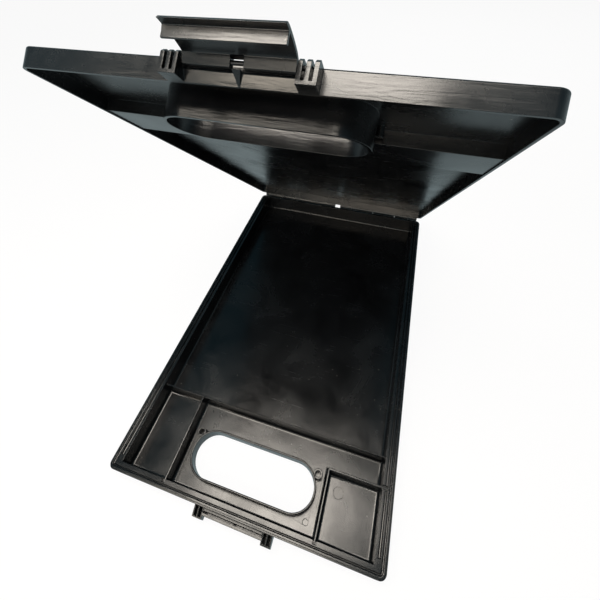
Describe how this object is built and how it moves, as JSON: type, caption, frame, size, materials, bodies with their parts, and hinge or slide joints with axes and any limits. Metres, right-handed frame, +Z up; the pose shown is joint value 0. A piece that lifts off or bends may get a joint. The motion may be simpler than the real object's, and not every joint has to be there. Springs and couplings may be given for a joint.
{
  "type": "storage clipboard box",
  "caption": "Shallow A4 storage tray with compartments and a hand hole, a hinged lid that carries a writing clip, and a flap latch; the lid stands open.",
  "frame": {"origin": "centre of the tray's underside, on the face that the box rests on", "axes": "+X to the right seen from the latch, +Y from the latch and hand hole to the hinge, +Z up"},
  "size_m": [0.244, 0.4073, 0.342],
  "materials": {
    "black_plastic": "injection-moulded, glossy black",
    "steel_wire": "drawn steel wire",
    "plated_sheet": "pressed steel, nickel plated",
    "spring_wire": "spring steel wire"
  },
  "bodies": {
    "base": {"base_tray": "black_plastic", "hinge_pin_left": "steel_wire", "hinge_pin_right": "steel_wire"},
    "lid": {"lid_shell": "black_plastic", "latch_pin": "steel_wire", "clip_bracket": "plated_sheet", "clip_rivet_left": "plated_sheet", "clip_rivet_right": "plated_sheet", "clip_pin": "steel_wire", "clip_spring": "spring_wire"},
    "flap": {"latch_flap": "black_plastic"},
    "clip": {"clip_lever": "plated_sheet"}
  },
  "joints": [
    {"name": "lid_hinge", "type": "hinge", "parent": "base", "child": "lid", "pos_m": [0, 0.2, 0.0232], "axis": [-1, 0, 0], "range_deg": [-47.5, 132.5]},
    {"name": "latch_hinge", "type": "hinge", "parent": "lid", "child": "flap", "pos_m": [0, -0.06449, 0.32324], "axis": [-1, 0, 0], "range_deg": [-90, 100]},
    {"name": "clip_hinge", "type": "hinge", "parent": "lid", "child": "clip", "pos_m": [0, -0.00792, 0.26535], "axis": [1, 0, 0], "range_deg": [0, 28], "stiffness_Nm_per_rad": 0.4, "springref_deg": -34.38, "deforming": ["clip_spring"]}
  ]
}
